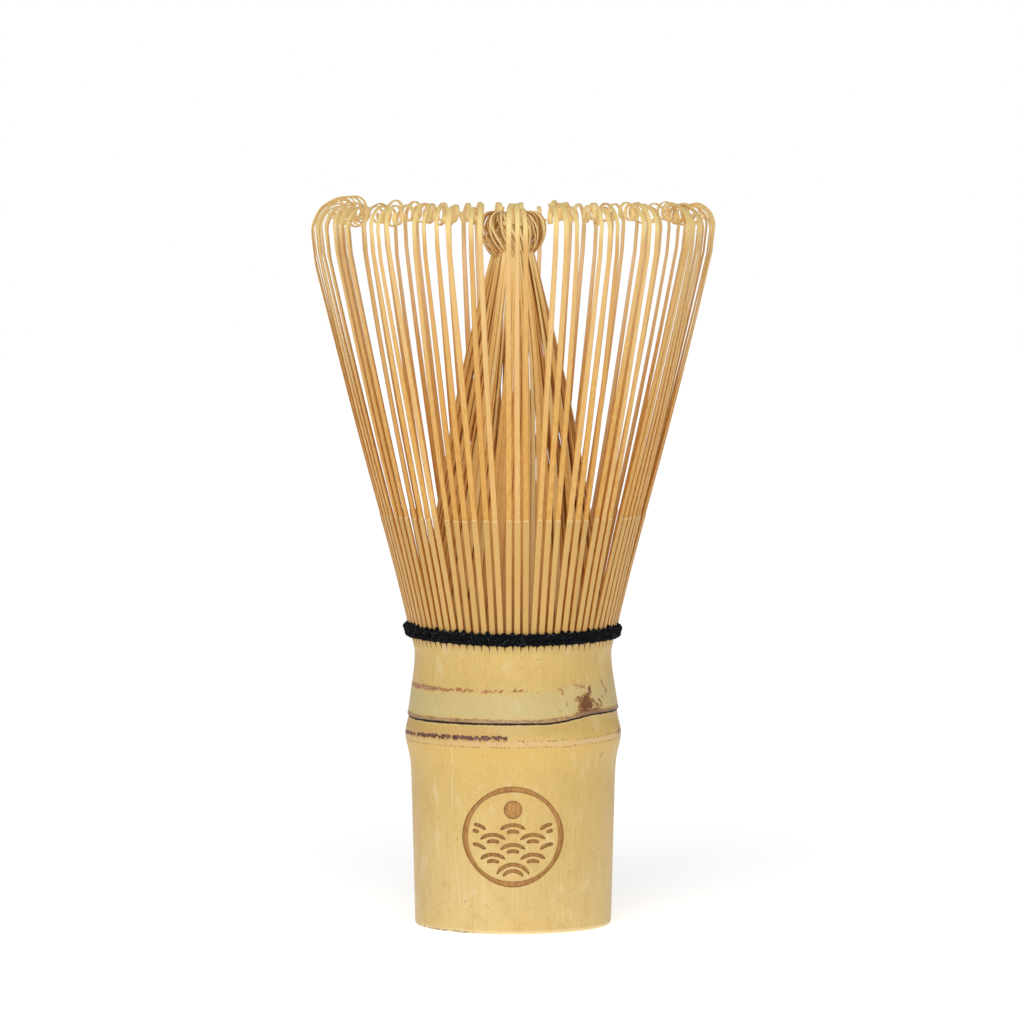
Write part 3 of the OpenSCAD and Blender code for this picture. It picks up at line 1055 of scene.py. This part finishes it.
def outer_profile(top, facing_left, rng):
    """An outer tine's points and headings in its upright plane, then its length from its hinge to the
    bark line, the length of its curl and how far out it reaches."""
    shoulder_r = (3.45 + rng.uniform(-0.4, 0.4) + facing_left * rng.uniform(1.2, 2.8)) * MM
    overhang = (rng.uniform(0, 0.5) + facing_left * rng.uniform(0.2, 2.2)) * MM
    curl_r = (1.36 + rng.uniform(-0.14, 0.14) + facing_left * 0.35) * MM
    curl_turn = math.radians(rng.uniform(240, 335))
    spiral = rng.uniform(0.74, 0.92)
    splay = math.radians(2.5 + rng.normal(0, 0.25))
    stub_z = np.linspace(SPLIT_Z, FLEX_Z, STUB_ROWS)
    stub_r = face_r(stub_z) - ROOT_T / 2
    stub_h = np.arctan(np.gradient(stub_r, stub_z))
    to_bark = (BARK_LINE_Z * MM - FLEX_Z) / math.cos(FLARE + splay / 2)
    reach = LONGEST_REACH - abs(rng.normal(0, 0.16)) * MM
    bow = math.radians(-2.6)
    for _ in range(4):  # each pass bows the tine closer to its reach
        lean = FLARE + splay + bow
        climb = SLOW_R * math.sin(lean) + shoulder_r * math.sin(SHOULDER_TURN)
        climb += overhang * math.cos(OVERHANG_LEAN)
        rest = (top - BARK_LINE_Z * MM - climb - BEND_GAP) / math.cos(lean - bow / 2)
        straight = [(to_bark - BEND_GAP, splay), (BEND_GAP, 0), (STEP_LENGTH, 0), (rest, bow)]
        shoulder = [(SLOW_R * lean, -lean), (shoulder_r * SHOULDER_TURN, -SHOULDER_TURN)]
        curl = [
            (max(overhang, 0.3 * MM), -OVERHANG_TURN),
            (curl_r * curl_turn * 0.55, -curl_turn * 0.55),
            (curl_r * spiral * curl_turn * 0.45, -curl_turn * 0.45),
        ]
        points, headings = walk((stub_r[-1], FLEX_Z), FLARE, straight + shoulder + curl)
        bow -= (points[:, 0].max() - reach) / (rest * 0.6)
    points = np.vstack([np.stack([stub_r[:-1], stub_z[:-1]], 1), points])
    headings = np.concatenate([stub_h[:-1], headings])
    return points, headings, to_bark, sum(length for length, _ in curl), reach


def outer_tine(n, clump, rng):
    """One outer tine: flush with the culm at its root, nearly straight to the shoulder, then curled
    in."""
    middle, pull, side = clump
    azimuth = (n + 0.5) * PITCH
    facing_left = float(bell((math.degrees(azimuth) - 176) / 16))
    top = min(CAD_TOP - (1.62 + rng.normal(0, 0.26) - facing_left * 1.5) * MM, CAD_TOP - 0.18 * MM)
    points, headings, to_bark, curl_length, reach = outer_profile(top, facing_left, rng)

    # sideways: into its clump, a slight sway, and the curl running off to one side as a helix
    s = lengths_along(points)
    above = np.clip((points[:, 1] - FLEX_Z) / (top - FLEX_Z), 0, 1)
    curl_from = s[-1] - curl_length
    in_curl = np.clip((s - curl_from) / (s[-1] - curl_from), 0, 1)
    risen = np.where(s > curl_from, 1.0, above)
    together = ((middle - n) * pull + ASIDE) * PITCH * reach
    helix = side * rng.uniform(0.45, 1.05) * MM
    sway = together * risen ** 1.15 + helix * in_curl ** 1.3
    sway += 0.12 * MM * np.sin(above * math.pi * 2 + rng.uniform(0, 6)) * above
    path, normal = place(points, headings, azimuth, sway)

    # half widths: half the pitch at the root, narrowing in the slit and towards the tip
    full = face_r(SPLIT_Z) * math.tan(PITCH / 2)
    root_w = rng.uniform(0.42, 0.46) * MM
    top_w = rng.uniform(0.31, 0.40) * MM
    slit_from = rng.uniform(0.0, 0.5) * MM
    opened = ease((points[:, 1] - SPLIT_Z - slit_from) / (1.7 * MM))
    width = mix(full, root_w, np.sqrt(opened) * 0.6 + opened * 0.4)
    width = width * (1 + 0.12 * ease(above / 0.35))
    width = mix(width, top_w, ease((above - 0.42) / 0.53))
    width = width * (1 - 0.15 * ease((s - (s[-1] - 3 * MM)) / (3 * MM)))

    # thicknesses: the skin ends in a step at the bark line
    thick = mix(ROOT_T, 0.25 * MM, ease(above * 0.9))
    has_skin = 1 - ease((s - s[STUB_ROWS - 1] - to_bark) / STEP_LENGTH)
    out_t = thick / 2 + (has_skin - 1) * SKIN_STEP * (above > 0.02)
    out_t = np.maximum(out_t, 0.07 * MM)
    twist = rng.normal(0, 0.09) * ease(above * 1.2)
    bevel = mix(0.004, 0.045, opened) * MM + 0.06 * MM * (1 - has_skin)
    bevel = np.minimum(bevel, 0.4 * (out_t + thick / 2))
    return blade(path, normal, width, out_t, thick / 2, bevel, twist)


def make_outer_tines(skin, pith, side):
    """The outer tines, one piece for each stave's five."""
    rng = np.random.default_rng(80)
    shares = clumps(rng)
    for stave, joint in enumerate(OUTER_JOINTS):
        solids = Solids()
        for k in range(TINES_IN_STAVE):
            n = stave * TINES_IN_STAVE + k
            rings = outer_tine(n, shares[n], rng)
            solids.sweep(rings, BLADE_MATERIALS, float(rng.uniform(0, 1)), sharp=BLADE_SHARP)
        piece = solids.object(f"outer_tines_{stave + 1:02d}_split", [skin, pith, side])
        flex(piece, joint)
        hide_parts(f"outer_tines_{stave + 1:02d}")


def flex(piece, joint):
    """Bakes the piece's placement into its mesh."""
    x, y, z = joint["pos_m"]
    reach = 20 * MM
    z + reach
    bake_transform(piece)


TUFTS = 13
INNER_STUB_ROWS = 3  # rows of an inner tine below its hinge
INNER_MATERIALS = [0, 0, 1, 0, 0, 0, 1, 0, 0]


def inner_profile(n, rng):
    """An inner tine's points and headings in its upright plane, then the height of its crown and the
    length of its way up to it."""
    size = (1.0, 0.84, 0.97, 0.74)[n % 4] * rng.uniform(0.96, 1.03)
    crown_z = CAD_TOP - (2.75 + 1.45 * size + rng.uniform(-0.15, 0.15)) * MM
    crown_r = (1.75 + rng.uniform(-0.25, 0.25)) * size * MM
    run_in, run_up = INNER_ROOT_R - crown_r, crown_z - FLEX_Z
    chord = math.hypot(run_in, run_up)
    lean = -math.atan2(run_in, run_up)
    bow = math.radians(11.0 - (n % 3) * 2.4 + rng.normal(0, 0.9))
    heading = math.degrees(lean - bow / 2)
    moves = [(chord, -bow)]
    tuck = rng.uniform(-14, 14)
    full = rng.uniform(0.9, 1.1)
    for radius, until in ((1.2, 80), (1.95 * full, 172), (5.2 / full, 222 + tuck), (1.3, 305 + tuck)):
        turn = math.radians(until - heading)
        moves.append((radius * size * MM * turn, turn))
        heading = until
    moves.append((rng.uniform(0.8, 1.4) * MM, math.radians(4)))
    start = (INNER_ROOT_R, FLEX_Z)
    points, headings = walk(start, lean + bow / 2, moves, turn_step=math.radians(6))
    stub = np.linspace(SPLIT_Z, FLEX_Z, INNER_STUB_ROWS + 1)[:-1]
    points = np.vstack([np.stack([np.full(INNER_STUB_ROWS, INNER_ROOT_R), stub], 1), points])
    headings = np.concatenate([np.zeros(INNER_STUB_ROWS), headings])
    return points, headings, crown_z, chord


def inner_tine(n, rng):
    """One inner tine: leans in to the crown, arches over its top and tucks back under."""
    azimuth = (n + 0.72 + rng.uniform(-0.12, 0.12)) * PITCH
    points, headings, crown_z, chord = inner_profile(n, rng)
    s = lengths_along(points)
    cap_from = s[INNER_STUB_ROWS] + chord
    above = np.clip((points[:, 1] - FLEX_Z) / (crown_z - FLEX_Z), 0, 1)
    in_cap = np.where(s > cap_from, np.clip((s - cap_from) / (s[-1] - cap_from), 0, 1), 0)

    # sideways: all the tines swirl one way, more so in the cap, where they gather into tufts
    swirl = math.radians(14 + rng.normal(0, 1.6)) * ease(above)
    swirl = swirl + math.radians(rng.normal(46, 12)) * in_cap ** 1.2
    gathered = azimuth + swirl
    gathered = gathered - 0.6 * np.sin(TUFTS * gathered) / TUFTS * ease(in_cap * 4)
    sway = rng.normal(0, 0.12) * MM * ease(above * 1.4) * (1 - in_cap)
    path, normal = place(points, headings, gathered, sway)

    # half widths: as wide as the room round the cone gives, then narrowing to the tip
    half_w = points[:, 0] * PITCH / 2 * rng.uniform(0.96, 1.13)
    half_w = np.maximum(half_w, rng.uniform(0.16, 0.21) * MM)
    half_w = half_w * (1 - 0.1 * ease(in_cap * 3))
    half_w = half_w * (1 - 0.4 * ease((s - (s[-1] - 1.5 * MM)) / (1.5 * MM)))
    thick = mix(0.34 * MM, 0.21 * MM, ease(above))
    twist = rng.normal(0, 0.45) * ease(above * 2) * (1 - in_cap)
    bevel = np.full(len(s), 0.03 * MM)
    return blade(path, normal, half_w, thick / 2, thick / 2, bevel, twist, 0.9)


def make_inner_tines(wood, side):
    """The inner tines, one piece for each stave's five."""
    rng = np.random.default_rng(40)
    for stave, joint in enumerate(INNER_JOINTS):
        solids = Solids()
        for k in range(TINES_IN_STAVE):
            rings = inner_tine(stave * TINES_IN_STAVE + k, rng)
            solids.sweep(rings, INNER_MATERIALS, float(rng.uniform(0, 1)), sharp=BLADE_SHARP)
        piece = solids.object(f"inner_tines_{stave + 1:02d}_gathered", [wood, side])
        flex(piece, joint)
        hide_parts(f"inner_tines_{stave + 1:02d}")


# ---- thread


def strand(solids, path, radius, sides=8, plies=2, twist_turns=0.0, closed=False, material=0):
    """Adds a yarn along a path to solids. With plies, its section is lobed and turns, as if twisted."""
    tangent = unit(np.roll(path, -1, 0) - np.roll(path, 1, 0) if closed else np.gradient(path, axis=0))
    side = np.cross(tangent, [0, 0, 1.0])
    weak = np.linalg.norm(side, axis=1) < 0.05
    side[weak] = np.cross(tangent[weak], [1.0, 0, 0])
    side = unit(side)
    normal = np.cross(side, tangent)
    a = circle(sides)
    turn = np.linspace(0, 2 * math.pi * twist_turns, len(path), endpoint=not closed)[:, None]
    r = np.broadcast_to(np.reshape(radius, (-1, 1)), (len(path), 1))
    lobes = r * (1 + 0.2 * np.cos(plies * a[None, :] + turn)) if plies else r * np.ones((1, sides))
    rings = (
        path[:, None, :]
        + side[:, None, :] * (lobes * np.cos(a)[None, :])[:, :, None]
        + normal[:, None, :] * (lobes * np.sin(a)[None, :])[:, :, None]
    )
    solids.sweep(rings[:, ::-1], [material] * sides, closed=closed)


BRAID_LOW = FLEX_Z - 1.90 * MM
BRAID_HIGH = FLEX_Z - 1.02 * MM
YARN_R = 0.45 * MM


def band_height(angle):
    """The band of thread rides higher on the left and right than at the front."""
    return (0.235 + 0.235 * np.cos(2 * angle) - 0.12 * np.cos(angle)) * MM


def braid(solids, base_z, phase, rng):
    """One round of weaving: over each tine and a little into each slit, all the way round."""
    points_per_tine = 10
    a = circle(TINES * points_per_tine)
    over = np.cos(a * TINES + math.pi)
    rough = wander(a, (7, 17, 31, 57), rng)
    z = base_z + band_height(a) + np.cos(a * TINES / 2 + phase) * 0.05 * MM + rough * 0.04 * MM
    r = face_r(z) + 0.33 * MM + over * 0.07 * MM + rough * 0.03 * MM
    size = YARN_R * (1 + 0.08 * wander(a, (23, 41, 67), rng))
    strand(solids, around(r, a, z), size, sides=12, twist_turns=130, closed=True)


def inner_rope(solids, rng):
    """The thread between the two rings of tines, where it holds them apart."""
    a = circle(TINES * 8)
    z = (BRAID_LOW + BRAID_HIGH) / 2 + 0.15 * MM + wander(a, (5, 11, 23), rng) * 0.08 * MM
    r = face_r(FLEX_Z) - 1.08 * MM + 0.04 * MM * np.cos(a * TINES)
    strand(solids, around(r, a, z), 0.36 * MM, sides=10, twist_turns=110, closed=True)


def slit_peak(solids, index, above, rng):
    """The thread where it turns in through a slit, standing in a point above or below the rounds."""
    a0 = (index + rng.normal(0, 0.05)) * PITCH
    t = np.linspace(-1, 1, 13)
    lift = band_height(a0)
    pointed = 1 - np.abs(t) ** rng.uniform(1.1, 1.6)
    if above:
        z = BRAID_HIGH + lift + (0.10 + rng.uniform(0.38, 0.82) * pointed) * MM
        size = rng.uniform(0.19, 0.26) * MM * (1 - 0.35 * pointed)
    else:
        z = BRAID_LOW + lift - (0.12 + rng.uniform(0.1, 0.42) * pointed) * MM
        size = rng.uniform(0.20, 0.25) * MM * (1 - 0.3 * pointed)
    a = a0 + rng.uniform(0.26, 0.36) * PITCH * t + rng.normal(0, 0.04) * PITCH * pointed
    r = face_r(z) + (0.42 - 0.36 * pointed) * MM
    strand(solids, around(r, a, z), size, twist_turns=rng.uniform(1, 2))


def stitch(solids, index, rng):
    """The thread where it crosses a tine from the lower round to the upper one."""
    a0 = (index + 0.5 + rng.normal(0, 0.06)) * PITCH
    t = np.linspace(-1, 1, 9)
    lift = band_height(a0)
    a = a0 + rng.uniform(0.34, 0.52) * PITCH * t * (1 if index % 2 else -1)
    z = (BRAID_LOW + BRAID_HIGH) / 2 + lift + (0.42 + rng.uniform(-0.1, 0.1)) * MM * t
    r = face_r(z) + (0.60 - 0.34 * t * t + rng.uniform(-0.05, 0.05)) * MM
    size = rng.uniform(0.20, 0.27) * MM
    strand(solids, around(r, a, z), size, twist_turns=rng.uniform(1.5, 2.5))


def lint(solids, count, rng):
    """Loose cotton fibres standing off the thread."""
    for _ in range(count):
        a0 = rng.uniform(0, 2 * math.pi)
        z0 = rng.uniform(BRAID_LOW - 0.45 * MM, BRAID_HIGH + 0.5 * MM)
        z0 += band_height(a0)
        r0 = float(face_r(z0)) + rng.uniform(0.25, 0.6) * MM
        length = rng.uniform(0.3, 1.2) * MM
        t = np.linspace(0, 1, 5)
        swing, climb, out = rng.normal(0, 0.5), rng.normal(0, 0.5), rng.uniform(0.1, 0.5)
        curl = rng.normal(0, 0.5)
        a = a0 + (swing * t + curl * t * t) * length / r0
        z = z0 + (climb * t + curl * 0.5 * t * t) * length
        r = r0 + out * length * t
        strand(solids, around(r, a, z), 0.012 * MM * (1 - 0.6 * t), sides=3, plies=0, material=1)


def knot():
    """The tied end: a small loop with a tail, at the back."""
    solids = Solids()
    t = np.linspace(0, 1, 90)
    a0 = math.pi / 2 + PITCH / 2
    centre = np.array(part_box("thread_knot")[0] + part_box("thread_knot")[1]) / 2
    centre[2] = FLEX_Z - 0.5 * MM
    along = np.array([-math.sin(a0), math.cos(a0), 0])
    out = np.array([math.cos(a0), math.sin(a0), 0])
    w = t * 4 * math.pi
    loop = (np.outer(np.sin(w), along) * 0.32 + np.outer(np.cos(w * 1.5), out) * 0.2
            + np.outer(np.sin(w * 0.75), [0, 0, 1.0]) * 0.3) * MM
    strand(solids, centre + loop, 0.14 * MM, twist_turns=14)
    tail = np.array([centre + along * 0.2 * MM * math.sin(3 * u) + np.array([0, 0, 0.7 * MM * u])
                     for u in np.linspace(0, 1, 12)])
    strand(solids, tail, 0.13 * MM, twist_turns=3)
    return solids


def make_thread(cotton, fluff):
    """The two woven rounds, with what belongs to each, and the knot."""
    rng = np.random.default_rng(60)
    lower = Solids()
    braid(lower, BRAID_LOW, 0.0, rng)
    upper = Solids()
    braid(upper, BRAID_HIGH, math.pi, rng)
    inner_rope(upper, rng)
    for i in range(TINES):
        slit_peak(upper, i, True, rng)
        slit_peak(lower, i, False, rng)
        stitch(upper, i, rng)
    lint(upper, 1500, rng)
    for solids, name, node in ((lower, "lower_braid_yarn", "thread_lower_braid"),
                               (upper, "upper_braid_yarn", "thread_upper_braid"),
                               (knot(), "knot_yarn", "thread_knot")):
        piece = solids.object(name, [cotton, fluff])
        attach(piece, "culm")
        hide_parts(node)


# ---- stage, camera and light


def make_stage():
    size = 3.0
    floor = mesh_object(
        "floor", [(-size, -size, 0), (size, -size, 0), (size, size, 0), (-size, size, 0)],
        [(0, 1, 2, 3)], [paper_floor()])
    floor.location.z = -0.02 * MM


def make_camera():
    distance = 892 * MM
    elevation = math.radians(3.15)
    look_at = Vector((-0.15 * MM, 0, 62.9 * MM))
    view_width = 156.2 * MM
    data = bpy.data.cameras.new("camera")
    data.sensor_width = 36
    data.lens = data.sensor_width * (distance / math.cos(elevation)) / view_width
    data.clip_start, data.clip_end = 0.05, 20
    camera = bpy.data.objects.new("camera", data)
    bpy.context.scene.collection.objects.link(camera)
    camera.location = look_at + Vector((0, -distance, distance * math.tan(elevation)))
    camera.rotation_euler = (math.pi / 2 - elevation, 0, 0)
    bpy.context.scene.camera = camera


AMBIENT = 0.225  # the surroundings' light on the whisk; the camera sees them as white


def make_light():
    """A white studio: even light from all round, and a large soft light in front, up and to the left."""
    world = bpy.data.worlds.new("studio")
    world.use_nodes = True
    tree = world.node_tree
    background = tree.nodes["Background"]
    background.inputs["Color"].default_value = (1, 1, 1, 1)
    seen = add_node(tree, "ShaderNodeLightPath", {}).outputs["Is Camera Ray"]
    strength = add_node(tree, "ShaderNodeMapRange", {"Value": seen, "To Min": AMBIENT, "To Max": 1.0})
    tree.links.new(strength.outputs["Result"], background.inputs["Strength"])
    bpy.context.scene.world = world
    data = bpy.data.lights.new("key", "SUN")
    data.energy = 1.52
    data.angle = math.radians(45)
    key = bpy.data.objects.new("key", data)
    bpy.context.scene.collection.objects.link(key)
    direction = Vector((0.09, 1.0, -0.75))
    key.rotation_euler = direction.to_track_quat("-Z", "Y").to_euler()
    view = bpy.context.scene.view_settings
    view.view_transform = "Standard"
    view.look = "None"
    view.exposure = 0.0


# ---- build

skin = bamboo_skin()
pith = bamboo_pith()
make_stage()
make_camera()
make_light()
make_culm(skin, pith, bamboo_end_grain(), burnt_floor(), burnt_edge())
make_diaphragm(pith)
make_outer_tines(tine_skin(), tine_pith(), tine_side())
make_inner_tines(inner_bamboo(), inner_side())
make_thread(black_cotton(), cotton_lint())
